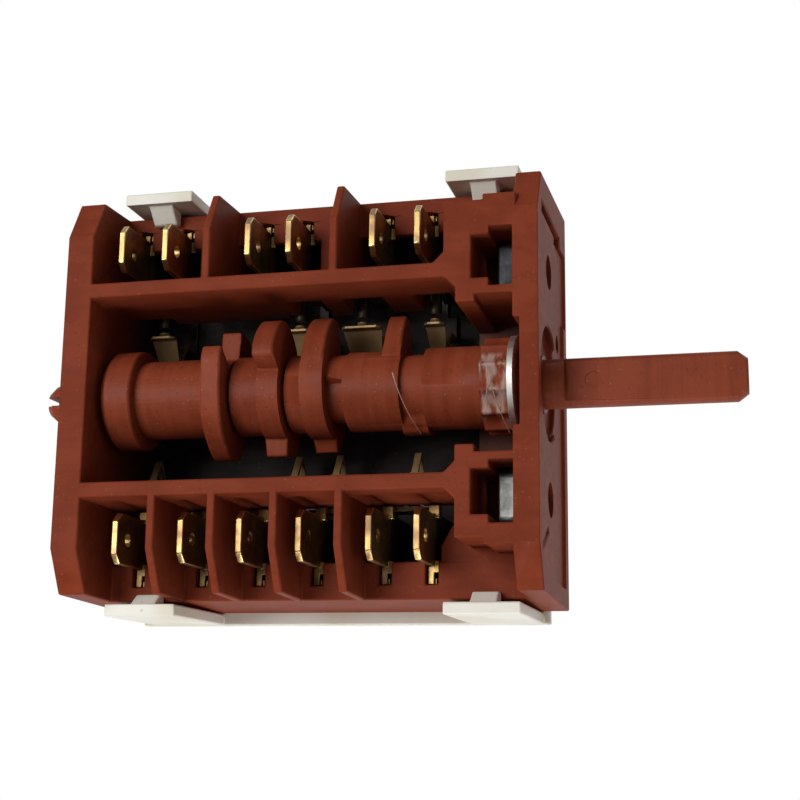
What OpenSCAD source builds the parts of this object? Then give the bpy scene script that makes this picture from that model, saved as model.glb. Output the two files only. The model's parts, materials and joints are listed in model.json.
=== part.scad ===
// Rotary cam selector switch for an oven, with a one-piece moulded frame.
// X runs along the camshaft, out through the mounting face at X = 0.
// Z points out of the open contact side, and the shaft axis is Y = Z = 0.

/* [Frame] */
// Length from the rear wall's outer face to the mounting face
body_l = 60; // [58:0.5:62]
// Height of the frame at its front corners
body_h = 50.2; // [49.6:0.2:52]
// Distance from the shaft axis to the open front
front_z = 8.5; // [8:0.1:9.5]
// Distance from the shaft axis to the open back
back_z = 15.3; // [14.8:0.1:16.5]
// Thickness of the mounting plate
plate_t = 3.1; // [2.9:0.1:3.6]
// Thickness of the rear wall
rear_t = 3.5; // [3:0.1:4]
// Clear half-height of the cam window
window_y = 11.7; // [11.5:0.1:12]
// Thickness of the two long rails
rail_t = 1.8; // [1.4:0.1:2]
// Thickness of the dividers between the terminal pockets
divider_t = 1; // [0.8:0.1:1.2]
// Height of the chamfer on every rib's front corner
chamfer_y = 5.2; // [3.6:0.2:5.4]
// Depth of the chamfer on every rib's front corner
chamfer_z = 2.9; // [2:0.1:3.4]
// Outward draft of the two long sides over their depth
draft_y = 0.8; // [0.2:0.1:0.85]

/* [Mounting] */
// Distance between the two fixing screws
screw_pitch = 28; // [27.6:0.1:28.4]
// Diameter of the screw clearance holes
screw_hole_d = 4.3; // [4.1:0.1:4.6]
// Width of the captive square nuts across their flats
nut_w = 7; // [6.6:0.1:7.2]
// Thickness of the captive square nuts
nut_t = 2.5; // [2:0.1:2.6]
// Core diameter of the nuts' thread
nut_core_d = 3.3; // [3:0.1:3.5]

/* [Camshaft] */
// Diameter of the spindle
spindle_d = 6; // [5.6:0.1:6.2]
// Size of the spindle across its flat
spindle_across = 4.6; // [4.2:0.1:5]
// Length of the spindle beyond the mounting face
spindle_l = 23.3; // [18:0.5:32]
// Diameter of the bearing neck in the mounting plate
neck_d = 7; // [6.6:0.1:7.6]
// Radial running clearance of both bearings
bearing_gap = 0.05; // [0.03:0.01:0.08]
// Radius of the plain barrels between the cams
barrel_r = 4.9; // [4.6:0.1:5.1]
// Radius of the highest cam lobes
lobe_r = 9.6; // [9:0.1:9.8]
// Radius of the end flange
flange_r = 6.5; // [6:0.1:7]
// Radius of the detent wheel over its ridges
wheel_r = 6.05; // [5.9:0.05:6.3]
// Number of switching positions in a full turn
positions = 12; // [12:1:12]
// Diameter of the rear journal
journal_d = 4.8; // [4.2:0.1:5.2]
// Length of the split journal beyond the rear wall
journal_out = 5; // [3:0.5:6]

/* [Terminals] */
// Width of the push-on tabs
tab_w = 6.3; // [6:0.1:6.4]
// Thickness of the tab stock
tab_t = 0.8; // [0.6:0.1:0.9]
// Length of the tabs above the terminal deck
tab_l = 7; // [6.4:0.1:7.8]
// Distance from the shaft axis to the upper tabs' centre line
tab_upper_y = 19.3; // [19:0.1:19.5]
// Distance from the shaft axis to the lower tabs' centre line
tab_lower_y = 18.1; // [17.9:0.1:18.4]
// Thickness of the contact leaves
leaf_t = 0.35; // [0.3:0.05:0.4]

/* [Back cover] */
// Thickness of the cover plate
cover_t = 1.8; // [1.4:0.1:2.4]
// Width of the four clip arms
arm_w = 9.3; // [8:0.1:9.8]
// Thickness of the clip arms
arm_t = 1.5; // [1.2:0.1:1.8]
// Width of the hooks on the clip arms
hook_w = 3.3; // [2.8:0.1:4]

/* [Hidden] */
$fn = 64;

upper = 1;
lower = -1;
eps = 0.5;

// Stations along the frame keep their share of its length
function station(x) = x * body_l / 60;
function stations(xs) = [for (x = xs) station(x)];

side_y = body_h / 2;
rear_x = -body_l;
rear_in_x = rear_x + rear_t;
plate_in_x = -plate_t;
rail_out_y = window_y + rail_t;
screw_y = screw_pitch / 2;

// The deck that the tabs stand on, and the walls of the chambers behind it
deck_z = -2;
deck_t = 1.4;
deck_low_z = deck_z - deck_t;
side_t = 1.2;
lug_out_y = side_y - side_t - 0.4;
opening_y = 20.8;
opening_reach = 2.6;
shoulder_z = deck_z - 1;
lug_reach = 1;

// The nut blocks at the plate end
block_x = -9.9;
block_upper_x = -11.35;
block_upper_y = 21;
block_lower_y = 19.3;
block_step_x = -6.6;
block_step_y = 0.7;
web = 1.3;
block_in_y = 9.4;
block_nub_y = 8.5;
block_nub_x = -7.6;
block_low_z = -9;
nut_play = 0.3;
nut_slot_x = plate_in_x - nut_t - nut_play;
tip_slot_x = nut_slot_x - 2.1;
tip_slot_w = 5.3;
nut_floor_z = -nut_w / 2;

// Dividers, by the X of their middle planes
divider_upper = stations([-41.4, -25]);
divider_lower = stations([-47.15, -39.5, -31.7, -23.7]);
partition_in_y = rail_out_y + 1;

// The insulating plate that carries the feet of the terminals
base_t = 1.6;
base_top_z = -back_z + base_t;
base_play = 0.1;

// Stations along the camshaft
flange_x = rear_in_x + 0.85;
flange_w = 3.95;
core_r = barrel_r - 1.1;
wheel_x = -7.6;
wheel_w = 3.3;
washer_t = 0.8;
washer_bore_gap = 0.1;
seat_depth = 0.8;
counterbore_r = 7;
counterbore_depth = 1.1;
spindle_flat_x = 2;
journal_slot = 1;
boss_t = 0.75;
boss_r = 4.2;

// Tabs: X of the middle plane of each
tab_upper = stations([-54.3, -48.4, -37.3, -31.9, -21.1, -15.4]);
tab_lower = stations([-53.2, -44.65, -37.1, -29.6, -20.95, -15.1]);
tab_top_z = deck_z + tab_l;
tab_corner = 1.1;
tab_hole_d = 1.7;
tab_hole_drop = 3.1;
foot_t = 0.7;
foot_top_z = base_top_z + foot_t;

// Contact leaves: X of the middle, width, and width of the nose of each
leaf_upper = [
    [station(-52.4), 3.4, 2.9], [station(-33.4), 3.2, 2.6],
    [station(-25), 5.2, 4.2], [station(-15.4), 2.6, 1.9]
];
leaf_lower = [
    [station(-53.3), 3, 0.9], [station(-33.8), 3, 0.9],
    [station(-28.3), 3, 0.9], [station(-18), 3, 0.9]
];
leaf_y = 9.5;
leaf_low_z = foot_top_z + 0.1;
leaf_high_z = -4.4;
nose_y = 6.3;
nose_z = -8;
nose_h = 2.3;
rivet_z = -5.9;
rivet_r = 0.8;
rivet_h = 0.6;
rivet_gap = 0.65;
stud_y = leaf_y + leaf_t + rivet_h + rivet_gap;

// Fixed contact bars: both ends in X, then the stations of the contacts on each
bar_end = 1.3;
bar_upper_1 = [tab_upper[0] - tab_t / 2, leaf_upper[0][0] + bar_end, [leaf_upper[0][0]]];
bar_upper_3 = [tab_upper[2] - tab_t / 2, leaf_upper[3][0] + bar_end, [for (i = [1 : 3]) leaf_upper[i][0]]];
bar_lower_2 = [leaf_lower[0][0] - bar_end, leaf_lower[1][0] + bar_end, [for (i = [0 : 1]) leaf_lower[i][0]]];
bar_lower_5 = [leaf_lower[2][0] - bar_end, leaf_lower[3][0] + bar_end, [for (i = [2 : 3]) leaf_lower[i][0]]];
contact_y = rail_out_y + 0.15;
contact_t = 0.6;
contact_high_z = -4.6;
contact_low_z = -8;
leg_y = contact_y + contact_t + 0.35;
rail_low_z = -6;

// Notches in the upper rail: both ends in X and the top of each
rail_notches = [
    [rear_in_x, station(-50.5), -3], [station(-33), station(-28.7), 1.3],
    [station(-25.9), station(-20.7), 1.3], [station(-16.7), station(-12.1), 1.3]
];

// Detent ball and its coil spring, in a bore below the wheel
ball_r = 1.75;
ball_play = 0.3;
valley_r = wheel_r - 0.75;
ball_z = -(wheel_r + ball_play + ball_r);
detent_x = wheel_x + wheel_w / 2;
detent_bore_r = ball_r + 0.08;
detent_block_z = -wheel_r - 0.6;
spring_wire_r = 0.2;
spring_r = 1.45;
spring_turns = 7;

// Clip arms of the back cover
arm_in_y = side_y + draft_y + 0.1;
arm_top_z = 2;
arm_left_x = rear_in_x + 1;
arm_right_x = plate_in_x - 0.2;
hook_upper_y = side_y - 1.2;
hook_lower_y = side_y - 0.5;

// A prism along X from a shape drawn in Y and Z
module along_x(x0, x1) {
    translate([x0, 0, 0])
        rotate([90, 0, 90])
            linear_extrude(x1 - x0)
                children();
}

// A round disc about the shaft axis
module disc(x0, x1, r) {
    translate([x0, 0, 0])
        rotate([0, 90, 0])
            cylinder(h = x1 - x0, r = r);
}

// A box from its low corner to its high corner
module box(low, high) {
    translate(low)
        cube(high - low);
}

// The same box on the upper side or the lower side, s = 1 or -1
module side_box(s, x0, x1, y0, y1, z0, z1) {
    if (s > 0) {
        box([x0, y0, z0], [x1, y1, z1]);
    } else {
        box([x0, -y1, z0], [x1, -y0, z1]);
    }
}

// Outline that the plate, the rear wall and every divider share
module rib_outline() {
    low_y = side_y + draft_y;
    polygon([
        [-low_y, -back_z],
        [-side_y, front_z - chamfer_z],
        [chamfer_y - side_y, front_z],
        [side_y - chamfer_y, front_z],
        [side_y, front_z - chamfer_z],
        [low_y, -back_z]
    ]);
}

// The part of a rib's outline between two depths, from y0 out to the side
module rib_share(s, y0, z0, z1) {
    out_y = side_y + draft_y;
    intersection() {
        rib_outline();
        translate([s > 0 ? y0 : -out_y, z0])
            square([out_y - y0, z1 - z0]);
    }
}

// One divider: a fin in front of the deck and a partition behind it
module divider(s, x) {
    along_x(x - divider_t / 2, x + divider_t / 2) {
        rib_share(s, rail_out_y - eps, deck_low_z, front_z);
        rib_share(s, partition_in_y, base_top_z, deck_low_z + 0.1);
    }
}

// A small web that fills a corner at (x, y), towards the rear and y + dy
module corner_web(x, y, dy, z0) {
    translate([0, 0, z0])
        linear_extrude(front_z - z0)
            polygon([[x + eps, y], [x - web, y], [x, y + dy], [x + eps, y + dy]]);
}

// One side of the frame: rail, deck, outer wall and nut block
module frame_side(s, fins, block_start, block_out_y) {
    side_box(s, rear_in_x - eps, block_x + eps, window_y, rail_out_y, rail_low_z, front_z);
    along_x(rear_in_x - eps, plate_in_x + eps) {
        rib_share(s, rail_out_y - 0.4, deck_low_z, deck_z);
        rib_share(s, side_y - side_t, -back_z, deck_z);
    }
    corner_web(block_x, s * window_y, -s * web, rail_low_z);
    corner_web(block_start, s * rail_out_y, s * web, deck_low_z);
    side_box(s, block_start, plate_in_x + eps, rail_out_y, block_out_y, block_low_z, front_z);
    side_box(s, block_step_x, plate_in_x + eps, rail_out_y, block_out_y + block_step_y, deck_low_z, front_z);
    side_box(s, block_x, plate_in_x + eps, block_in_y, rail_out_y + eps, block_low_z, front_z);
    side_box(s, block_x, block_nub_x, block_nub_y, block_in_y + eps, block_low_z, front_z);
    for (x = fins) {
        divider(s, x);
    }
}

// Openings of one pocket in the deck, from one rib to the next
module deck_opening(s, x0, x1) {
    gap = divider_t / 2;
    side_box(s, x0 + gap, x1 - gap, rail_out_y, opening_y, deck_low_z - eps, deck_z + eps);
}

// The slot beside an opening, for a terminal and its outer lug
module lug_slot(s, x) {
    side_box(s, x - tab_t / 2 - 0.1, x + lug_reach + 0.1, opening_y - eps, lug_out_y + 0.1,
        deck_low_z - eps, deck_z + eps);
}

// Round mark of an ejector pin in the deck beside a tab
module ejector_mark(s, x) {
    translate([x + 1.6, s * (side_y - 2.5), deck_z - 0.12])
        cylinder(h = 1, r = 0.85);
}

// The slot for a captive nut, with a narrower one behind it for the screw's tip
module nut_slot(s) {
    half = (nut_w + nut_play) / 2;
    side_box(s, nut_slot_x, plate_in_x, screw_y - half, screw_y + half, nut_floor_z, front_z + eps);
    side_box(s, tip_slot_x, nut_slot_x + eps, screw_y - tip_slot_w / 2, screw_y + tip_slot_w / 2,
        nut_floor_z, front_z + eps);
}

// Round openings and shallow recesses of the mounting plate
module plate_cuts() {
    recess_depth = 0.4;
    pad_z = -4.6;
    rim_z = 2.6 - back_z;
    step_y = 10.5;
    slot_high_y = side_y - 3.4;
    slot_low_y = side_y - 4.9;
    pad_low_y = 1.9 - side_y;
    for (s = [lower, upper]) {
        translate([plate_in_x - eps, s * screw_y, 0])
            rotate([0, 90, 0])
                cylinder(h = plate_t + 2 * eps, d = screw_hole_d);
    }
    disc(plate_in_x - eps, eps, neck_d / 2 + bearing_gap);
    disc(-counterbore_depth, eps, counterbore_r);
    // Seat for the washer, open to the front
    disc(plate_in_x - eps, plate_in_x + seat_depth, wheel_r + 0.35);
    box([plate_in_x - eps, -wheel_r - 0.35, 0], [plate_in_x + seat_depth, wheel_r + 0.35, front_z + eps]);
    // Step along the back edge of the outer face
    box([-recess_depth, step_y, 0.8 - back_z], [eps, slot_low_y + 0.01, pad_z]);
    box([-recess_depth, pad_low_y, rim_z], [eps, step_y + 0.01, pad_z]);
    // Long slot near the top corner, and a slanted groove near the bottom one
    box([-1.4, slot_low_y, -10], [eps, slot_high_y, 5.4]);
    translate([-recess_depth, -19, 4])
        rotate([29, 0, 0])
            box([0, -0.4, -2.6], [eps + recess_depth, 0.4, 2.6]);
    // Blind locating hole beside the spindle
    translate([-1.9, 7.3, -9.4])
        rotate([0, 90, 0])
            cylinder(h = 2.5, d = 2.4);
}

module housing() {
    color([0.50, 0.21, 0.14])
        difference() {
            union() {
                along_x(plate_in_x, 0)
                    rib_outline();
                along_x(rear_x, rear_in_x)
                    rib_outline();
                frame_side(upper, divider_upper, block_upper_x, block_upper_y);
                frame_side(lower, divider_lower, block_x, block_lower_y);
                disc(rear_in_x - eps, rear_in_x + boss_t, boss_r);
                // Bridge below the detent wheel, with the ball's bore in it
                box([block_x, -block_in_y - eps, -back_z],
                    [plate_in_x + eps, block_in_y + eps, detent_block_z]);
                for (s = [lower, upper]) {
                    side_box(s, block_x, plate_in_x + eps, block_in_y, rail_out_y, -back_z,
                        block_low_z + eps);
                }
            }
            plate_cuts();
            disc(rear_x - eps, rear_in_x + boss_t + eps, journal_d / 2 + bearing_gap);
            nut_slot(upper);
            nut_slot(lower);
            translate([detent_x, 0, -back_z - eps])
                cylinder(h = back_z + detent_block_z + 2 * eps, r = detent_bore_r);
            deck_opening(upper, rear_in_x - divider_t / 2, tab_upper[1] + opening_reach);
            deck_opening(upper, divider_upper[0], tab_upper[3] + opening_reach);
            deck_opening(upper, divider_upper[1], tab_upper[5] + opening_reach);
            deck_opening(lower, rear_in_x - divider_t / 2, divider_lower[0]);
            for (i = [0 : len(divider_lower) - 2]) {
                deck_opening(lower, divider_lower[i], divider_lower[i + 1]);
            }
            deck_opening(lower, divider_lower[3], block_x + divider_t / 2);
            for (x = tab_upper) {
                lug_slot(upper, x);
                ejector_mark(upper, x);
            }
            for (x = tab_lower) {
                lug_slot(lower, x);
            }
            for (notch = rail_notches) {
                rail_notch(upper, notch[0], notch[1], notch[2]);
            }
            for (leaf = leaf_upper) {
                stud_notch(upper, leaf[0]);
            }
            for (leaf = leaf_lower) {
                stud_notch(lower, leaf[0]);
            }
        }
}

// A notch through a rail, open towards the back
module rail_notch(s, x0, x1, top_z) {
    side_box(s, x0, x1, window_y - eps, rail_out_y + 0.1, rail_low_z - eps, top_z);
}

// The notch that lets the stud of a fixed contact through
module stud_notch(s, x) {
    reach = rivet_r + 0.4;
    rail_notch(s, x - reach, x + reach, rivet_z + reach);
}

// One clip arm with its hook over the deck's front face
module clip_arm(s, x0, x1) {
    middle = (x0 + x1) / 2;
    hook_y = s > 0 ? hook_upper_y : hook_lower_y;
    side_box(s, x0, x1, arm_in_y, arm_in_y + arm_t, -back_z - eps, arm_top_z);
    along_x(middle - hook_w / 2, middle + hook_w / 2)
        polygon([
            [s * (arm_in_y + eps), deck_z],
            [s * hook_y, deck_z],
            [s * hook_y, deck_z + 1.2],
            [s * (arm_in_y + eps), arm_top_z - 0.2]
        ]);
}

module base_plate() {
    half = side_y - side_t - base_play;
    color([0.42, 0.17, 0.12])
        box([rear_in_x + base_play, -half, -back_z], [block_x - base_play, half, base_top_z]);
}

module back_cover() {
    cover_left_x = rear_x + 2.4;
    cover_right_x = plate_in_x + 0.6;
    color([0.90, 0.88, 0.84]) {
        difference() {
            box([cover_left_x, -arm_in_y - arm_t, -back_z - cover_t],
                [cover_right_x, arm_in_y + arm_t, -back_z]);
            // Shallow panels that save material on the outside
            for (s = [lower, upper]) {
                side_box(s, cover_left_x + 3, cover_right_x - 3, 3, side_y - 2, -back_z - cover_t - eps,
                    -back_z - cover_t + 0.6);
            }
        }
        for (s = [lower, upper]) {
            clip_arm(s, arm_left_x, arm_left_x + arm_w);
            clip_arm(s, arm_right_x - arm_w, arm_right_x);
        }
    }
}

// Point of a cam outline at angle a from the front, turning towards the upper side
function at_angle(a, r) = [r * sin(a), r * cos(a)];

// Outline of a cam from its corners, each an angle and a radius on the full-size camshaft
function cam_outline(corners) = [
    for (i = [0 : len(corners) - 1])
        let (from = corners[i], to = corners[(i + 1) % len(corners)])
        let (turn = to[0] - from[0] + (i == len(corners) - 1 ? 360 : 0))
        let (steps = max(1, round(turn / 5)))
        for (k = [0 : steps - 1])
            at_angle(from[0] + turn * k / steps, (from[1] + (to[1] - from[1]) * k / steps) * lobe_r / 9.6)
];

module cam(x0, x1, corners) {
    along_x(station(x0), station(x1))
        polygon(cam_outline(corners));
}

// Detent wheel: a disc with a round valley for each position
module detent_wheel() {
    valley_cut_r = 2.6;
    difference() {
        disc(wheel_x, wheel_x + wheel_w, wheel_r);
        for (i = [0 : positions - 1]) {
            rotate([i * 360 / positions, 0, 0])
                translate([wheel_x - eps, 0, -(valley_r + valley_cut_r)])
                    rotate([0, 90, 0])
                        cylinder(h = wheel_w + 2 * eps, r = valley_cut_r);
        }
    }
}

// Round spindle with one flat and a coned end
module spindle() {
    cone_l = 1.2;
    cone_r = 0.9;
    r = spindle_d / 2;
    flat_z = spindle_across - r;
    difference() {
        union() {
            disc(-1, spindle_l - cone_l, r);
            translate([spindle_l - cone_l, 0, 0])
                rotate([0, 90, 0])
                    cylinder(h = cone_l, r1 = r, r2 = r - cone_r);
        }
        box([spindle_flat_x, -r - eps, flat_z], [spindle_l + eps, r + eps, r + eps]);
        // Witness mark of the ejector pin
        translate([spindle_flat_x + 3.4, 0, flat_z - 0.12])
            cylinder(h = eps, r = 1);
    }
}

module camshaft() {
    color([0.53, 0.22, 0.15]) {
        spindle();
        // Neck, wheel, core and end flange
        disc(wheel_x + wheel_w - 0.01, -0.6, neck_d / 2);
        detent_wheel();
        disc(flange_x, wheel_x + 0.01, core_r);
        disc(flange_x + 0.6, flange_x + flange_w, flange_r - 0.15);
        translate([flange_x, 0, 0])
            rotate([0, 90, 0])
                cylinder(h = 0.6 + 0.01, r1 = flange_r - 0.6, r2 = flange_r - 0.15);
        // Plain barrels between the cams
        disc(station(-14.7), wheel_x + 0.01, barrel_r + 0.15);
        disc(station(-24.6), station(-17.6), barrel_r + 0.05);
        disc(station(-31.95), station(-29.7), barrel_r);
        disc(station(-39), station(-35.1), barrel_r + 0.1);
        disc(flange_x, station(-41.9), barrel_r + 0.1);
        // First cam: a long swelling lobe to the front, and a short one behind
        cam(-42, -39.45, [
            [-175, 4.7], [-118, 6], [-100, 8], [-80, 8.3], [-60, 7.8], [-14, 7.2], [13, 7.4], [28, 8.3],
            [38, 8.5], [41, 4.7], [86, 4.7], [89, 8.5], [120, 8.9], [135, 6], [150, 4.7]
        ]);
        // Second cam: two lobes with stepped flanks
        cam(-35.2, -32.45, [
            [-172, 6], [-135, 6], [-115, 7.6], [-82, 8], [-76, 6], [22, 6], [23, 8.7], [31, 9.2],
            [40, 9.4], [62, 9.6], [70, 9.4], [79, 8.8], [89, 7.8], [98, 7], [110, 6]
        ]);
        // Third cam: a long ramp up to its lobe, and a short stepped lobe below
        cam(-29.8, -26.9, [
            [-168, 5.6], [-140, 6.4], [-120, 7.5], [-106, 7.4], [-102, 5.6], [-4, 5.6], [27, 6.1],
            [49, 7], [66, 8.1], [76, 8.8], [87, 9.6], [97, 9.6], [107, 7.6], [122, 5.6]
        ]);
        // Fourth cam: one pointed lobe
        cam(-20, -17.7, [
            [-170, 4], [38, 4], [45, 5], [56, 5.6], [68, 6.6], [78, 7.7], [86, 8.9], [91, 9.6],
            [97, 9.5], [107, 7.6], [122, 5.6], [140, 4]
        ]);
        // Lobes on the far side, for the end contacts
        cam(-53.2, -50.9, [[-176, 8.4], [-170, 4], [146, 4], [152, 8.4]]);
        cam(-16.5, -14.3, [[-176, 8.4], [-170, 3], [146, 3], [152, 8.4]]);
        // Low fillings of two grooves
        cam(-27, -24.5, [[-170, 3], [2, 3], [10, 4.7], [104, 4.7], [112, 3]]);
        cam(-17.8, -14.6, [[-150, 3.4], [-126, 5.6], [-80, 5.6], [-58, 4.3], [150, 4.3], [170, 3.4]]);
        rear_journal();
    }
}

// Rear journal, split by a slot so that it springs into its bearing
module rear_journal() {
    round_l = 1;
    difference() {
        union() {
            disc(rear_x - journal_out + round_l, flange_x + 0.5, journal_d / 2);
            translate([rear_x - journal_out, 0, 0])
                rotate([0, 90, 0])
                    cylinder(h = round_l, r1 = journal_d / 2 - 0.8, r2 = journal_d / 2);
        }
        box([rear_x - journal_out - eps, -journal_slot / 2, -journal_d],
            [rear_x - 0.8, journal_slot / 2, journal_d]);
    }
}

module thrust_washer() {
    washer_x = wheel_x + wheel_w;
    color([0.80, 0.80, 0.80])
        difference() {
            disc(washer_x, washer_x + washer_t, wheel_r);
            disc(washer_x - eps, washer_x + washer_t + eps, neck_d / 2 + washer_bore_gap);
        }
}

module captive_nuts() {
    color([0.66, 0.68, 0.70])
        for (s = [lower, upper]) {
            difference() {
                translate([plate_in_x - nut_t, s * screw_y, 0])
                    rotate([0, 90, 0])
                        linear_extrude(nut_t)
                            intersection() {
                                square(nut_w, center = true);
                                circle(r = nut_w * 0.61);
                            }
                translate([plate_in_x - nut_t - eps, s * screw_y, 0])
                    rotate([0, 90, 0])
                        cylinder(h = nut_t + 2 * eps, d = nut_core_d);
            }
        }
}

module detent_ball() {
    color([0.78, 0.78, 0.80])
        translate([detent_x, 0, ball_z])
            sphere(r = ball_r, $fn = 48);
}

// Coil spring as a tube along a helix, with its ends flat on ball and cover
module detent_spring() {
    sides = 6;
    turn_steps = 16;
    steps = spring_turns * turn_steps;
    low_z = -back_z + spring_wire_r;
    high_z = ball_z - ball_r + 0.4 - spring_wire_r;
    ring = [for (i = [0 : steps]) for (k = [0 : sides - 1])
        let (turn = i * 360 / turn_steps, a = k * 360 / sides, r = spring_r - spring_wire_r * (1 - cos(a)))
        [r * cos(turn), r * sin(turn), low_z + (high_z - low_z) * i / steps + spring_wire_r * sin(a)]];
    walls = [for (i = [0 : steps - 1]) for (k = [0 : sides - 1])
        let (next = (k + 1) % sides)
        [i * sides + k, i * sides + next, (i + 1) * sides + next, (i + 1) * sides + k]];
    ends = [
        [for (k = [0 : sides - 1]) sides - 1 - k],
        [for (k = [0 : sides - 1]) steps * sides + k]
    ];
    color([0.70, 0.71, 0.73])
        translate([detent_x, 0, 0])
            polyhedron(points = ring, faces = concat(walls, ends), convexity = 8);
}

// Flat part of a terminal: the tab, the body behind the deck, and two bent lugs that hold it
module terminal_blade(s, x) {
    tab_y = s > 0 ? tab_upper_y : tab_lower_y;
    half = tab_w / 2;
    lug_in_y = rail_out_y + 0.3;
    lug_low_z = contact_high_z + 0.3;
    difference() {
        along_x(x - tab_t / 2, x + tab_t / 2)
            polygon([
                [s * (tab_y - half), shoulder_z],
                [s * (tab_y - half), tab_top_z - tab_corner],
                [s * (tab_y - half + tab_corner), tab_top_z],
                [s * (tab_y + half - tab_corner), tab_top_z],
                [s * (tab_y + half), tab_top_z - tab_corner],
                [s * (tab_y + half), shoulder_z],
                [s * lug_out_y, shoulder_z],
                [s * lug_out_y, contact_low_z],
                [s * (leg_y + 3), base_top_z],
                [s * leg_y, base_top_z],
                [s * leg_y, lug_low_z],
                [s * lug_in_y, lug_low_z],
                [s * lug_in_y, shoulder_z]
            ]);
        translate([x - tab_t, s * tab_y, tab_top_z - tab_hole_drop])
            rotate([0, 90, 0])
                cylinder(h = 2 * tab_t, d = tab_hole_d);
    }
    side_box(s, x, x + lug_reach, lug_in_y, lug_in_y + 1.6, lug_low_z, shoulder_z);
    side_box(s, x, x + lug_reach, opening_y - 0.2, lug_out_y - 1.4, lug_low_z, shoulder_z);
    side_box(s, x, x + lug_reach - 0.3, lug_out_y - 0.8, lug_out_y, lug_low_z, shoulder_z - 0.3);
}

// Terminal that ends in fixed contacts, on a bar behind the rail
module fixed_terminal(s, x, bar) {
    color([0.70, 0.55, 0.26]) {
        terminal_blade(s, x);
        side_box(s, x - tab_t / 2, x + tab_t / 2, contact_y, leg_y + eps, contact_low_z, contact_high_z);
        side_box(s, bar[0], bar[1], contact_y, contact_y + contact_t, contact_low_z, contact_high_z);
        for (place = bar[2]) {
            translate([place, s * (contact_y + 0.1), rivet_z])
                rotate([s * 90, 0, 0])
                    cylinder(h = contact_y + 0.1 - stud_y, r = rivet_r, $fn = 32);
        }
    }
}

// Terminal with a foot that carries a contact leaf
module moving_terminal(s, x, leaf) {
    neck_w = 1.4;
    foot_out_y = rail_out_y - 0.8;
    low_x = leaf[0] - leaf[1] / 2;
    high_x = leaf[0] + leaf[1] / 2;
    neck_x = x > leaf[0] ? high_x - neck_w : low_x;
    color([0.70, 0.55, 0.26]) {
        terminal_blade(s, x);
        side_box(s, low_x, high_x, leaf_y - 0.2, foot_out_y, base_top_z, foot_top_z);
        side_box(s, neck_x, neck_x + neck_w, foot_out_y - eps, leg_y + 2, base_top_z, foot_top_z);
        side_box(s, min(neck_x, x - tab_t / 2), max(neck_x + neck_w, x + tab_t / 2), leg_y, leg_y + 2,
            base_top_z, foot_top_z);
    }
}

// Contact leaf: a thin upright strip with a V-shaped nose that narrows towards the cams
module contact_leaf(s, leaf) {
    half = leaf[1] / 2;
    nose_half = leaf[2] / 2;
    straight = s > 0 ? 0.2 : nose_h - 0.3;
    color([0.74, 0.60, 0.33]) {
        intersection() {
            along_x(leaf[0] - half, leaf[0] + half)
                polygon([
                    [s * leaf_y, leaf_low_z],
                    [s * leaf_y, nose_z - nose_h],
                    [s * nose_y, nose_z],
                    [s * leaf_y, nose_z + nose_h],
                    [s * leaf_y, leaf_high_z],
                    [s * (leaf_y + leaf_t), leaf_high_z],
                    [s * (leaf_y + leaf_t), nose_z + nose_h - 0.2],
                    [s * (nose_y + leaf_t + 0.15), nose_z],
                    [s * (leaf_y + leaf_t), nose_z - nose_h + 0.2],
                    [s * (leaf_y + leaf_t), leaf_low_z]
                ]);
            translate([leaf[0], leaf_y + 5, 0])
                rotate([90, 0, 0])
                    linear_extrude(2 * leaf_y + 10)
                        polygon([
                            [-half, leaf_low_z - 1],
                            [half, leaf_low_z - 1],
                            [half, nose_z - nose_h],
                            [nose_half, nose_z - straight],
                            [nose_half, nose_z + straight],
                            [half, nose_z + nose_h],
                            [half, leaf_high_z - 0.5],
                            [half - 0.5, leaf_high_z],
                            [half - 0.5, leaf_high_z + 1],
                            [0.5 - half, leaf_high_z + 1],
                            [0.5 - half, leaf_high_z],
                            [-half, leaf_high_z - 0.5],
                            [-half, nose_z + nose_h],
                            [-nose_half, nose_z + straight],
                            [-nose_half, nose_z - straight],
                            [-half, nose_z - nose_h]
                        ]);
        }
        translate([leaf[0], s * (leaf_y + leaf_t + rivet_h), rivet_z + 0.15])
            rotate([s * 90, 0, 0])
                cylinder(h = rivet_h + 0.1, r = rivet_r - 0.1, $fn = 32);
    }
}

housing();
base_plate();
back_cover();
camshaft();
thrust_washer();
captive_nuts();
detent_ball();
detent_spring();
fixed_terminal(upper, tab_upper[0], bar_upper_1);  // terminal_upper_1
moving_terminal(upper, tab_upper[1], leaf_upper[0]);  // terminal_upper_2
fixed_terminal(upper, tab_upper[2], bar_upper_3);  // terminal_upper_3
moving_terminal(upper, tab_upper[3], leaf_upper[1]);  // terminal_upper_4
moving_terminal(upper, tab_upper[4], leaf_upper[2]);  // terminal_upper_5
moving_terminal(upper, tab_upper[5], leaf_upper[3]);  // terminal_upper_6
moving_terminal(lower, tab_lower[0], leaf_lower[0]);  // terminal_lower_1
fixed_terminal(lower, tab_lower[1], bar_lower_2);  // terminal_lower_2
moving_terminal(lower, tab_lower[2], leaf_lower[1]);  // terminal_lower_3
moving_terminal(lower, tab_lower[3], leaf_lower[2]);  // terminal_lower_4
fixed_terminal(lower, tab_lower[4], bar_lower_5);  // terminal_lower_5
moving_terminal(lower, tab_lower[5], leaf_lower[3]);  // terminal_lower_6
contact_leaf(upper, leaf_upper[0]);  // leaf_upper_1
contact_leaf(upper, leaf_upper[1]);  // leaf_upper_2
contact_leaf(upper, leaf_upper[2]);  // leaf_upper_3
contact_leaf(upper, leaf_upper[3]);  // leaf_upper_4
contact_leaf(lower, leaf_lower[0]);  // leaf_lower_1
contact_leaf(lower, leaf_lower[1]);  // leaf_lower_2
contact_leaf(lower, leaf_lower[2]);  // leaf_lower_3
contact_leaf(lower, leaf_lower[3]);  // leaf_lower_4
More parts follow.
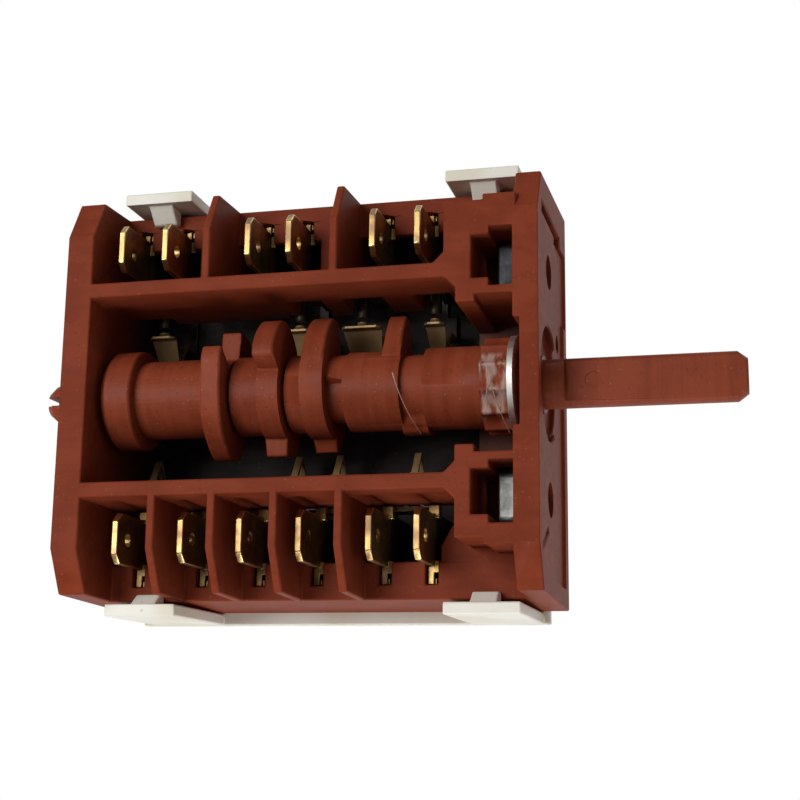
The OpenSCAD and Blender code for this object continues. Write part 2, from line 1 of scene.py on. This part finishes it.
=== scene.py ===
import bmesh
import bpy
import json
import math
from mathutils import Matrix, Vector
from mathutils.bvhtree import BVHTree
from mathutils.kdtree import KDTree

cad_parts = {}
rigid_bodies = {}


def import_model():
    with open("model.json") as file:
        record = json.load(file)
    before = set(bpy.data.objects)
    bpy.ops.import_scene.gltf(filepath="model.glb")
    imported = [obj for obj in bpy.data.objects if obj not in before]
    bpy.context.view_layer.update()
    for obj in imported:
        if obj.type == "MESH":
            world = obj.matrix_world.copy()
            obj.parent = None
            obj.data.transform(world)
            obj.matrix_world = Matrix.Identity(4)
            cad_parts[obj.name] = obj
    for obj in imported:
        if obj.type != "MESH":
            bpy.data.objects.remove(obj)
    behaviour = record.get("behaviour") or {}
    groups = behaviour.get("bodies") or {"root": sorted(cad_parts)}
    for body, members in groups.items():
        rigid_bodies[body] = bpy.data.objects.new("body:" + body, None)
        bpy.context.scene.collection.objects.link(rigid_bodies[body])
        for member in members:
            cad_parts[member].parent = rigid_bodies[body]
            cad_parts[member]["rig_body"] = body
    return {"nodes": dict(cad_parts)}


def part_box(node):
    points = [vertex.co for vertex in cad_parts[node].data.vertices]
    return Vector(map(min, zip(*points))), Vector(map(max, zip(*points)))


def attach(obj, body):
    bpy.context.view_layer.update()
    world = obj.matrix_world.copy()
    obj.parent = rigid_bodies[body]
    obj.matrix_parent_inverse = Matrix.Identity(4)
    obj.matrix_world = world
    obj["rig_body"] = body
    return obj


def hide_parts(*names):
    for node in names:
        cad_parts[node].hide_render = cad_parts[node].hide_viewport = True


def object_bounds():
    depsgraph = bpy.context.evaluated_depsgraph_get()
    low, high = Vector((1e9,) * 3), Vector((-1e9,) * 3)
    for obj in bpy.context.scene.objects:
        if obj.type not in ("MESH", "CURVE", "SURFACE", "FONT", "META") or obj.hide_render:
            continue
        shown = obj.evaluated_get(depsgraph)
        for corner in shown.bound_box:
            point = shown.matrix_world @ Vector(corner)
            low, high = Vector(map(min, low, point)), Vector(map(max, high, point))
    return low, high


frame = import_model()
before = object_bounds()
scene = bpy.context.scene
mm = 0.001


# Camera
# A short telephoto lens over the open contact side, leaning towards the lower row of tabs
# and towards the spindle.
camera = bpy.data.objects.new("camera", bpy.data.cameras.new("camera"))
scene.collection.objects.link(camera)
camera.location = (25.3 * mm, -40.25 * mm, 174.4 * mm)
camera.rotation_euler = [math.radians(turn) for turn in (12.44, 13.949, 0.716)]
camera.data.sensor_width = 36
camera.data.lens = 67.41
camera.data.clip_start = 0.01
camera.data.clip_end = 10
camera.data.dof.use_dof = False
scene.camera = camera
scene.view_settings.view_transform = "Standard"


# Floor, world and lamps
# The switch lies on its back cover on a plain pale table under three soft lamps. The camera
# sees table and room as white, metal mirrors a white table, and the rest gets their soft light.
class Link:
    """A node's output, which makes Math nodes when it meets Python's arithmetic."""

    def __init__(self, nodes, socket):
        self.nodes = nodes
        self.socket = socket

    def math(self, operation, *others):
        sockets = dict(enumerate((self,) + others))
        return self.nodes.node("ShaderNodeMath", {"operation": operation}, sockets)

    def __add__(self, other):
        return self.math("ADD", other)

    def __mul__(self, other):
        return self.math("MULTIPLY", other)

    def __rsub__(self, other):
        return self.math("MULTIPLY_ADD", -1.0, other)

    __radd__ = __add__
    __rmul__ = __mul__

    def either(self, other):
        return self.math("MAXIMUM", other)

    def rise(self, low, high):
        """Climbs smoothly from 0 at low to 1 at high."""
        return self.nodes.node(
            "ShaderNodeMapRange", {"interpolation_type": "SMOOTHSTEP"},
            {"Value": self, "From Min": low, "From Max": high})

    def mix(self, start, end):
        """The colour start where this is 0, and end where it is 1."""
        sockets = {0: self}
        for place, colour in ((6, start), (7, end)):
            sockets[place] = colour if isinstance(colour, Link) else (*colour, 1)
        return self.nodes.node("ShaderNodeMix", {"data_type": "RGBA"}, sockets, 2)


class Nodes:
    """A node tree that is written as expressions."""

    def __init__(self, tree):
        self.tree = tree

    def plug(self, socket, value):
        if isinstance(value, Link):
            self.tree.links.new(value.socket, socket)
        else:
            socket.default_value = value

    def node(self, kind, settings, sockets, output=0):
        """Makes a node, its settings first, and gives one of its outputs."""
        made = self.tree.nodes.new(kind)
        for name, value in settings.items():
            setattr(made, name, value)
        for key, value in sockets.items():
            self.plug(made.inputs[key], value)
        return Link(self, made.outputs[output])

    def white_to_eyes(self):
        """1 for what the camera sees straight, in a gloss or through glass, and 0 for light."""
        rays = [self.node("ShaderNodeLightPath", {}, {}, name)
                for name in ("Is Camera Ray", "Is Glossy Ray", "Is Transmission Ray")]
        return rays[0].either(rays[1]).either(rays[2])


table_colour = (0.70, 0.70, 0.70, 1)
table_half = 3.0
table_z = before[0][2]

table_mesh = bpy.data.meshes.new("table")
corners = [(-1, -1), (1, -1), (1, 1), (-1, 1)]
places = [(table_half * x, table_half * y, table_z) for x, y in corners]
table_mesh.from_pydata(places, [], [range(4)])
table = bpy.data.objects.new("table", table_mesh)
scene.collection.objects.link(table)
table_paint = bpy.data.materials.new("table")
table_paint.use_nodes = True
nodes = Nodes(table_paint.node_tree)
matt = Link(nodes, table_paint.node_tree.nodes["Principled BSDF"].outputs[0])
nodes.plug(matt.socket.node.inputs["Base Color"], table_colour)
glow = nodes.node("ShaderNodeEmission", {}, {"Color": (1, 1, 1, 1), "Strength": 1.0})
seen = nodes.node("ShaderNodeMixShader", {}, {0: nodes.white_to_eyes(), 1: matt, 2: glow})
nodes.plug(table_paint.node_tree.nodes["Material Output"].inputs["Surface"], seen)
table_mesh.materials.append(table_paint)

world_strength = 0.25
world = bpy.data.worlds.new("world")
scene.world = world
world.use_nodes = True
nodes = Nodes(world.node_tree)
eye = nodes.node("ShaderNodeLightPath", {}, {}, "Is Camera Ray")
backdrop = world.node_tree.nodes["Background"]
nodes.plug(backdrop.inputs["Color"], (1, 1, 1, 1))
nodes.plug(backdrop.inputs["Strength"], eye * (1 - world_strength) + world_strength)


def lamp(name, place, size, watts):
    """A round soft box that points at the middle of the housing."""
    aim = Vector((-0.02, 0, 0))
    data = bpy.data.lights.new(name, "AREA")
    data.shape = "DISK"
    data.size = size
    data.energy = watts
    made = bpy.data.objects.new(name, data)
    made.location = place
    made.rotation_euler = (aim - Vector(place)).to_track_quat("-Z", "Y").to_euler()
    scene.collection.objects.link(made)


lamp("key_lamp", (-0.22, 0.06, 0.40), 0.28, 1.55)
lamp("side_lamp", (0.46, -0.14, 0.05), 0.26, 0.30)
lamp("low_lamp", (-0.02, -0.46, 0.05), 0.26, 1.3)


# Housing
# One red-brown phenolic moulding with the mounting plate, the rails, the dividers and the
# nut blocks. It is pressed in a steel mould, so its corners are slightly round, its colour
# is clouded, and pale and dark grains of filler show in its skin.
class Finish(Nodes):
    """A material with one Principled shader, painted on object coordinates."""

    def __init__(self, name, constants):
        self.material = bpy.data.materials.new(name)
        self.material.use_nodes = True
        super().__init__(self.material.node_tree)
        self.shader = self.tree.nodes["Principled BSDF"]
        for socket, value in constants.items():
            self.shader.inputs[socket].default_value = value
        self.place = self.node("ShaderNodeTexCoord", {}, {}, "Object")

    def along(self, axis):
        """The coordinate on one axis, in metres."""
        return self.node("ShaderNodeSeparateXYZ", {}, {0: self.place}, axis)

    def stretched(self, scale):
        return self.node("ShaderNodeMapping", {}, {"Vector": self.place, "Scale": scale})

    def cloud(self, per_metre, detail=3.0, stretch=(1, 1, 1)):
        sockets = {"Vector": self.stretched(stretch), "Scale": per_metre, "Detail": detail}
        return self.node("ShaderNodeTexNoise", {}, sockets)

    def grains(self, per_metre):
        """1 inside small round grains, and 0 between them."""
        apart = self.node("ShaderNodeTexVoronoi", {}, {"Vector": self.place, "Scale": per_metre})
        return 1 - apart.rise(0.10, 0.22)

    def paint(self, **values):
        for name, value in values.items():
            self.plug(self.shader.inputs[name.replace("_", " ")], value)

    def relief(self, height, depth):
        """Raises the surface by depth, in metres, where height is 1."""
        sockets = {"Height": height, "Distance": depth, "Strength": 1.0}
        self.paint(Normal=self.node("ShaderNodeBump", {}, sockets))


def filled(finish, skin, pale_filler, dark_filler, strength):
    """Scatters pale and dark grains of filler over a skin, each kind in its own patches."""
    patch = finish.cloud(420).rise(0.5, 0.62)
    skin = (finish.grains(1500) * patch * strength).mix(skin, pale_filler)
    return (finish.grains(1150) * (1 - patch) * strength).mix(skin, dark_filler)


def phenolic(name, deep, pale, smoothest):
    """Phenolic moulding compound. Gives its finish and the colour of its skin."""
    finish = Finish(name, {"Specular IOR Level": 0.04})
    cloud = finish.cloud(160)
    flow = finish.cloud(700, 4.0, (0.3, 1, 1))
    skin = (cloud * 0.55 + flow * 0.45).rise(0.38, 0.62).mix(deep, pale)
    skin = filled(finish, skin, (0.34, 0.17, 0.12), (0.05, 0.018, 0.012), 0.25)
    fine = finish.cloud(2600, 2.0)
    finish.paint(Base_Color=skin, Roughness=flow * 0.22 + fine * 0.12 + smoothest)
    finish.relief(fine * 0.6 + flow * 0.4, 0.035 * mm)
    return finish, skin


def strays(mesh, surface, reach):
    """The corners of a rounded mesh that lie further than reach from the surface it is cut from."""
    return [corner.co.copy() for corner in mesh.vertices
            if surface.find_nearest(corner.co)[3] > reach]


def rounded(node, piece, width, finish, edge_finish=None, segments=2):
    """Stands a copy of a CAD node in its place, closed and with its sharp edges rounded.

    Where rounding would throw a corner off the surface, the edges there stay sharp.
    """
    merged = 0.002 * mm
    flat_angle = math.radians(1.5)
    sharp_angle = math.radians(30)
    shortest_edge = 2.2 * width
    off_surface = 0.6 * width
    spoilt_reach = 4 * width
    tries = 6

    shape = bmesh.new()
    shape.from_mesh(frame["nodes"][node].data)
    bmesh.ops.remove_doubles(shape, verts=shape.verts, dist=merged)
    bmesh.ops.dissolve_limit(shape, angle_limit=flat_angle, verts=shape.verts, edges=shape.edges)
    surface = BVHTree.FromBMesh(shape)
    ends = [[corner.co.copy() for corner in edge.verts] for edge in shape.edges]
    sharp = [float(edge.calc_face_angle(0) > sharp_angle and edge.calc_length() > shortest_edge)
             for edge in shape.edges]
    mesh = bpy.data.meshes.new(piece)
    shape.to_mesh(mesh)
    shape.free()
    mesh.shade_smooth()
    mesh.set_sharp_from_angle(angle=sharp_angle)
    copy = bpy.data.objects.new(piece, mesh)
    scene.collection.objects.link(copy)
    bevel = copy.modifiers.new("rounding", "BEVEL")
    bevel.limit_method = "WEIGHT"
    bevel.width = width
    bevel.segments = segments
    bevel.use_clamp_overlap = False
    bevel.material = 1 if edge_finish else -1
    shading = copy.modifiers.new("shading", "WEIGHTED_NORMAL")
    shading.mode = "FACE_AREA"
    shading.keep_sharp = True
    mesh.materials.append(finish.material)
    if edge_finish:
        mesh.materials.append(edge_finish.material)
    weights = mesh.attributes.new("bevel_weight_edge", "FLOAT", "EDGE")
    for attempt in range(tries):
        weights.data.foreach_set("value", sharp)
        mesh.update()
        depsgraph = bpy.context.evaluated_depsgraph_get()
        result = bpy.data.meshes.new_from_object(copy.evaluated_get(depsgraph))
        stray = strays(result, surface, off_surface)
        if not stray:
            break
        near = KDTree(len(stray))
        for number, corner in enumerate(stray):
            near.insert(corner, number)
        near.balance()
        for number, pair in enumerate(ends):
            if min(near.find(end)[2] for end in pair) < spoilt_reach:
                sharp[number] = 0.0
    copy.modifiers.clear()
    copy.data = result
    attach(copy, frame["nodes"][node]["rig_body"])
    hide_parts(node)


brick_deep = (0.172, 0.030, 0.012)
brick_pale = (0.213, 0.040, 0.017)
housing_skin, unshaded_skin = phenolic("housing_phenolic", brick_deep, brick_pale, 0.33)

# Painted shade: the colour darkens deep between the walls, where shade falls, and stays unchanged
# on the outer faces.
painted_shade = (0.088, 0.044, 0.038)
shade_full_depth = -9 * mm
shade_gone_depth = -1 * mm
shade_fade = 0.5 * mm
low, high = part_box("housing")
rear_face = low.x + 1.0 * mm
front_face = -0.9 * mm
side_face = high.y - 0.9 * mm
deep_down = 1 - housing_skin.along("Z").rise(shade_full_depth, shade_gone_depth)
across = housing_skin.along("Y")
between_sides = 1 - across.either(across * -1.0).rise(side_face - shade_fade, side_face)
lengthwise = housing_skin.along("X")
off_rear = lengthwise.rise(rear_face, rear_face + 0.6 * mm)
off_front = 1 - lengthwise.rise(front_face - shade_fade, front_face)
housing_skin.paint(Base_Color=(deep_down * between_sides * off_rear * off_front).mix(unshaded_skin, painted_shade))
rounded("housing", "housing_moulding", 0.2 * mm, housing_skin)

# A web at deck level closes the end of the last lower pocket's opening, beside the nut block.
web_outline = ((-12.3, -16.6), (-13.6, -19.0), (-13.6, -20.95), (-9.6, -20.95), (-9.6, -16.6))
web_top = -2.04 * mm
web_low = -3.36 * mm
count = len(web_outline)
points = [(x * mm, y * mm, z) for z in (web_low, web_top) for x, y in web_outline]
walls = [(i, (i + 1) % count, (i + 1) % count + count, i + count) for i in range(count)]
lids = [tuple(reversed(range(count))), tuple(range(count, 2 * count))]
web_mesh = bpy.data.meshes.new("pocket_web")
web_mesh.from_pydata(points, [], walls + lids)
web_mesh.materials.append(housing_skin.material)
web = bpy.data.objects.new("pocket_web", web_mesh)
scene.collection.objects.link(web)
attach(web, "frame")


# Insulating plate
# A flat dark moulded plate behind the chambers, its colour painted darker still, near black, as
# painted shade for the deep place it sits in. The feet of the terminals stand on it.
plate_deep = (0.028, 0.023, 0.022)
plate_pale = (0.043, 0.035, 0.033)
plate_skin, _ = phenolic("plate_phenolic", plate_deep, plate_pale, 0.43)
rounded("base_plate", "insulating_plate", 0.2 * mm, plate_skin)


# Back cover
# Off-white moulded cover, clipped over the housing by four hooked arms. Handling has left it
# a little yellow and dusty.
cover_skin = Finish("cover_polyamide", {"Specular IOR Level": 0.4})
age = cover_skin.cloud(90, 4.0).rise(0.35, 0.7)
dust = cover_skin.grains(900) * cover_skin.cloud(260).rise(0.5, 0.7)
fresh_cream = (0.80, 0.77, 0.69)
yellowed_cream = (0.72, 0.67, 0.54)
dust_colour = (0.36, 0.30, 0.22)
cream = age.mix(fresh_cream, yellowed_cream)
cover_skin.paint(Base_Color=(dust * 0.5).mix(cream, dust_colour), Roughness=age * 0.15 + 0.40)
cover_skin.relief(cover_skin.cloud(1800, 2.0), 0.02 * mm)
rounded("back_cover", "clipped_cover", 0.22 * mm, cover_skin)


# Camshaft
# One phenolic moulding with the D-shaped spindle, the detent wheel, the cams and the split
# journal. The leaves have polished narrow tracks round its cams, and its parting line runs
# along both sides.
shaft_skin = Finish("camshaft_phenolic", {"Specular IOR Level": 0.1})
cloud = shaft_skin.cloud(180)
tracks = shaft_skin.cloud(900, 2.0, (1, 0.04, 0.04))
shaft_deep = (0.190, 0.034, 0.013)
shaft_pale = (0.236, 0.047, 0.020)
skin = (cloud * 0.6 + tracks * 0.4).rise(0.38, 0.62).mix(shaft_deep, shaft_pale)
skin = filled(shaft_skin, skin, (0.36, 0.18, 0.12), (0.06, 0.02, 0.012), 0.35)

# Pale grease is smeared over the ridges of the detent wheel, on the side that faces out.
grease_colour = (0.46, 0.33, 0.28)
wheel_low = -7.8 * mm
wheel_high = -4.2 * mm
smear_fade = 0.4 * mm
along = shaft_skin.along("X")
height = shaft_skin.along("Z")
off_low_end = along.rise(wheel_low, wheel_low + smear_fade)
off_high_end = 1 - along.rise(wheel_high - smear_fade, wheel_high)
facing_out = height.rise(1.5 * mm, 4.5 * mm)
below_top = 1 - shaft_skin.along("Y").rise(2.6 * mm, 3.4 * mm)
streak = shaft_skin.cloud(850, 3.0, (1, 0.28, 0.5)).rise(0.44, 0.60)
grease = off_low_end * off_high_end * facing_out * below_top * streak
dry_roughness = cloud * 0.2 + tracks * 0.2 + 0.26
shaft_skin.paint(Base_Color=(grease * 0.72).mix(skin, grease_colour))
shaft_skin.paint(Roughness=dry_roughness * (1 - grease * 0.55))
ridge = 1 - height.either(height * -1.0).rise(0.02 * mm, 0.09 * mm)
shaft_skin.relief(shaft_skin.cloud(2600, 2.0) * 0.5 + ridge + grease * 1.4, 0.05 * mm)
rounded("camshaft", "camshaft_moulding", 0.28 * mm, shaft_skin)


# Small steel parts
# The thrust washer is stamped from bright strip, the square nuts are pressed, threaded and
# zinc-plated, and a ground ball is held against the detent wheel by a coil of spring wire.
def steel(name, colour, dull, roughness):
    """Bare or plated steel with fine marks from rolling and a few dull patches."""
    finish = Finish(name, {"Metallic": 1.0})
    marks = finish.cloud(2400, 3.0, (1, 0.15, 1))
    patch = finish.cloud(500).rise(0.45, 0.65)
    finish.paint(Base_Color=patch.mix(colour, dull))
    finish.paint(Roughness=marks * 0.18 + patch * 0.12 + roughness)
    finish.relief(marks, 0.01 * mm)
    return finish


class Growth(Nodes):
    """A Geometry Nodes tree with named sizes, whose result is kept as a plain mesh."""

    def __init__(self, name, sizes):
        super().__init__(bpy.data.node_groups.new(name, "GeometryNodeTree"))
        face = self.tree.interface
        face.new_socket("Geometry", in_out="OUTPUT", socket_type="NodeSocketGeometry")
        self.values = {}
        for label, value in sizes.items():
            socket = face.new_socket(label, in_out="INPUT", socket_type="NodeSocketFloat")
            self.values[socket.identifier] = value
        self.given = self.tree.nodes.new("NodeGroupInput")
        self.result = self.tree.nodes.new("NodeGroupOutput")

    def size(self, label):
        return Link(self, self.given.outputs[label])

    def vector(self, x, y, z):
        return self.node("ShaderNodeCombineXYZ", {}, {0: x, 1: y, 2: z})

    def tube(self, path, radius, sides):
        sockets = {"Resolution": sides, "Radius": radius}
        ring = self.node("GeometryNodeCurvePrimitiveCircle", {}, sockets)
        sockets = {"Curve": path, "Profile Curve": ring, "Fill Caps": True}
        return self.node("GeometryNodeCurveToMesh", {}, sockets)

    def grow(self, piece, geometry, finish, body):
        """Ends the tree, makes the piece's mesh and lets it ride on a body."""
        real = self.node("GeometryNodeRealizeInstances", {}, {0: geometry})
        smooth = self.node("GeometryNodeSetShadeSmooth", {}, {"Geometry": real})
        sockets = {"Geometry": smooth, "Material": finish.material}
        self.plug(self.result.inputs[0], self.node("GeometryNodeSetMaterial", {}, sockets))
        made = bpy.data.objects.new(piece, bpy.data.meshes.new(piece))
        scene.collection.objects.link(made)
        growing = made.modifiers.new("growth", "NODES")
        growing.node_group = self.tree
        for identifier, value in self.values.items():
            growing[identifier] = value
        depsgraph = bpy.context.evaluated_depsgraph_get()
        mesh = bpy.data.meshes.new_from_object(made.evaluated_get(depsgraph))
        made.modifiers.remove(growing)
        made.data = mesh
        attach(made, body)
        return made


washer_steel = steel("washer_steel", (0.90, 0.88, 0.84), (0.70, 0.67, 0.63), 0.36)

# The lower nut keeps the pale zinc, and the upper nut's zinc is painted dark as painted shade.
nut_zinc = Finish("nut_zinc", {"Metallic": 0.85, "Specular IOR Level": 0.3})
upper = nut_zinc.along("Y").rise(-2 * mm, 2 * mm)
worn = nut_zinc.cloud(450).rise(0.40, 0.62)
pale_zinc = worn.mix((0.26, 0.255, 0.24), (0.15, 0.145, 0.14))
shaded_zinc = worn.mix((0.050, 0.051, 0.056), (0.026, 0.026, 0.029))
nut_zinc.paint(Base_Color=upper.mix(pale_zinc, shaded_zinc))
nut_zinc.paint(Roughness=nut_zinc.cloud(2400) * 0.2 + 0.36)
nut_zinc.relief(nut_zinc.cloud(1900), 0.02 * mm)

ball_steel = steel("ball_steel", (0.70, 0.70, 0.72), (0.60, 0.60, 0.62), 0.06)
spring_wire = steel("spring_wire", (0.42, 0.41, 0.40), (0.24, 0.23, 0.22), 0.22)
rounded("thrust_washer", "stamped_washer", 0.09 * mm, washer_steel)
rounded("captive_nuts", "square_nuts", 0.25 * mm, nut_zinc)

ball = frame["nodes"]["detent_ball"]
ball.data.materials.clear()
ball.data.materials.append(ball_steel.material)
ball.data.shade_smooth()

low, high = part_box("detent_spring")
wire_radius = 0.2 * mm
coil = Growth("spring_coil", {
    "Coil radius": (high.x - low.x) / 2 - wire_radius, "Wire radius": wire_radius,
    "Turns": 7.0, "Height": high.z - low.z - 2 * wire_radius})
spiral = coil.node("GeometryNodeCurveSpiral", {}, {
    "Resolution": 36, "Rotations": coil.size("Turns"), "Start Radius": coil.size("Coil radius"),
    "End Radius": coil.size("Coil radius"), "Height": coil.size("Height")})
middle = (low + high) / 2
foot = (middle.x, middle.y, low.z + wire_radius)
wound = coil.tube(spiral, coil.size("Wire radius"), 12)
placed = coil.node("GeometryNodeTransform", {}, {"Geometry": wound, "Translation": foot})
spring = coil.grow("detent_coil", placed, spring_wire, "frame")
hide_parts("detent_spring")

low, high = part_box("captive_nuts")
nut_thick = high.x - low.x
nut_apart = (high.y - low.y) - (high.z - low.z)
lead_in = 0.15 * mm
thread = Growth("nut_threads", {
    "Core radius": 1.66 * mm, "Pitch": 0.7 * mm, "Ridge": 0.16 * mm,
    "Length": nut_thick - 2 * lead_in, "Nuts apart": nut_apart})
spiral = thread.node("GeometryNodeCurveSpiral", {}, {
    "Resolution": 40, "Rotations": thread.size("Length").math("DIVIDE", thread.size("Pitch")),
    "Start Radius": thread.size("Core radius"), "End Radius": thread.size("Core radius"),
    "Height": thread.size("Length")})
ridge = thread.tube(spiral, thread.size("Ridge"), 3)
along_x = (0, math.pi / 2, 0)
lying = thread.node("GeometryNodeTransform", {}, {"Geometry": ridge, "Rotation": along_x})
low_end = thread.vector(low.x + lead_in, thread.size("Nuts apart") * -0.5, 0.0)
high_end = thread.vector(low.x + lead_in, thread.size("Nuts apart") * 0.5, 0.0)
row = thread.node("GeometryNodeMeshLine", {"mode": "END_POINTS"}, {
    "Count": 2, "Start Location": low_end, "Offset": high_end})
both = thread.node("GeometryNodeInstanceOnPoints", {}, {"Points": row, "Instance": lying})
threads = thread.grow("nut_threads", both, nut_zinc, "frame")


# Terminals
# Twelve push-on tabs blanked from brass strip, with a lance hole in each. Bent lugs behind
# the deck lock them in the housing. Their faces are tarnished, and their cut edges are bright.
def brass(name, bright, tarnished, below_deck_colour, smoothest, deep_metal):
    """Rolled copper alloy with its own colour, which gives way to a second colour below the deck,
    where it is also less metallic.
    """
    finish = Finish(name, {"Specular IOR Level": 0.3})
    grain = finish.cloud(1500, 3.0, (1, 0.2, 1))
    stain = finish.cloud(330, 5.0)
    above_deck = finish.along("Z").rise(-5.5 * mm, -2.6 * mm)
    finish.paint(Base_Color=above_deck.mix(below_deck_colour, stain.rise(0.38, 0.62).mix(bright, tarnished)))
    finish.paint(Metallic=above_deck * (1 - deep_metal) + deep_metal)
    finish.paint(Roughness=grain * 0.22 + stain * 0.25 + smoothest)
    finish.relief(grain * 0.5 + stain * 0.5, 0.03 * mm)
    return finish


# Below the deck the tabs and their cut edges are painted near black and less metallic: painted
# shade for the deep chamber.
tab_brass = brass(
    "tab_brass", (0.46, 0.31, 0.12), (0.25, 0.145, 0.075), (0.030, 0.021, 0.016), 0.20, 0.3)
cut_brass = brass(
    "cut_brass", (0.78, 0.60, 0.29), (0.55, 0.38, 0.16), (0.06, 0.035, 0.015), 0.08, 0.5)
tabs_in_row = 6
tab_rounding = 0.11 * mm
for row_name in ("upper", "lower"):
    for number in range(1, tabs_in_row + 1):
        place = "%s_%d" % (row_name, number)
        rounded(
            "terminal_" + place, "tab_" + place, tab_rounding, tab_brass, cut_brass)


# Contact leaves
# Eight thin bronze strips, each bent to a nose that runs on a cam and each with a riveted
# contact that meets the fixed one. They are springy, and dull where nothing rubs them.
leaf_bronze = brass(
    "leaf_bronze", (0.70, 0.52, 0.26), (0.52, 0.37, 0.20), (0.52, 0.34, 0.16), 0.36, 0.9)
leaf_edge = brass(
    "leaf_edge", (0.86, 0.70, 0.40), (0.74, 0.58, 0.32), (0.74, 0.54, 0.28), 0.26, 0.9)
leaves_in_row = 4
leaf_rounding = 0.06 * mm
for row_name in ("upper", "lower"):
    for number in range(1, leaves_in_row + 1):
        place = "%s_%d" % (row_name, number)
        rounded(
            "leaf_" + place, "contact_" + place, leaf_rounding, leaf_bronze,
            leaf_edge, segments=1)


# Strings of grease
# The pale grease on the detent wheel draws thin strings when the shaft turns. They cling to
# the barrel and the wheel, and turn with them.
string_grease = Finish("string_grease", {"Specular IOR Level": 0.6})
milk = string_grease.cloud(900)
string_grease.paint(Base_Color=milk.mix((0.46, 0.31, 0.25), (0.34, 0.19, 0.14)))
string_grease.paint(Roughness=milk * 0.2 + 0.15)

string = Growth("grease_string", {"Thickness": 0.06 * mm})
routes = (
    ((-5.9, -1.6, 5.85), (-5.2, -4.4, 4.6), (-4.6, -6.0, 1.4)),
    ((-18.1, 1.0, 5.6), (-16.9, -3.2, 5.5), (-15.6, -5.6, 1.0)),
    ((-6.6, 1.2, 6.05), (-6.2, -1.0, 6.2), (-6.9, -2.9, 5.3)))
strings = []
for route in routes:
    start, bend, end = [tuple(part * mm for part in point) for point in route]
    sockets = {"Resolution": 24, "Start": start, "Middle": bend, "End": end}
    path = string.node("GeometryNodeCurveQuadraticBezier", {}, sockets)
    strings.append(string.tube(path, string.size("Thickness"), 8))
together = string.node("GeometryNodeJoinGeometry", {}, {0: strings[0]})
for more in strings[1:]:
    string.plug(together.socket.node.inputs[0], more)
string.grow("grease_strings", together, string_grease, "selector")
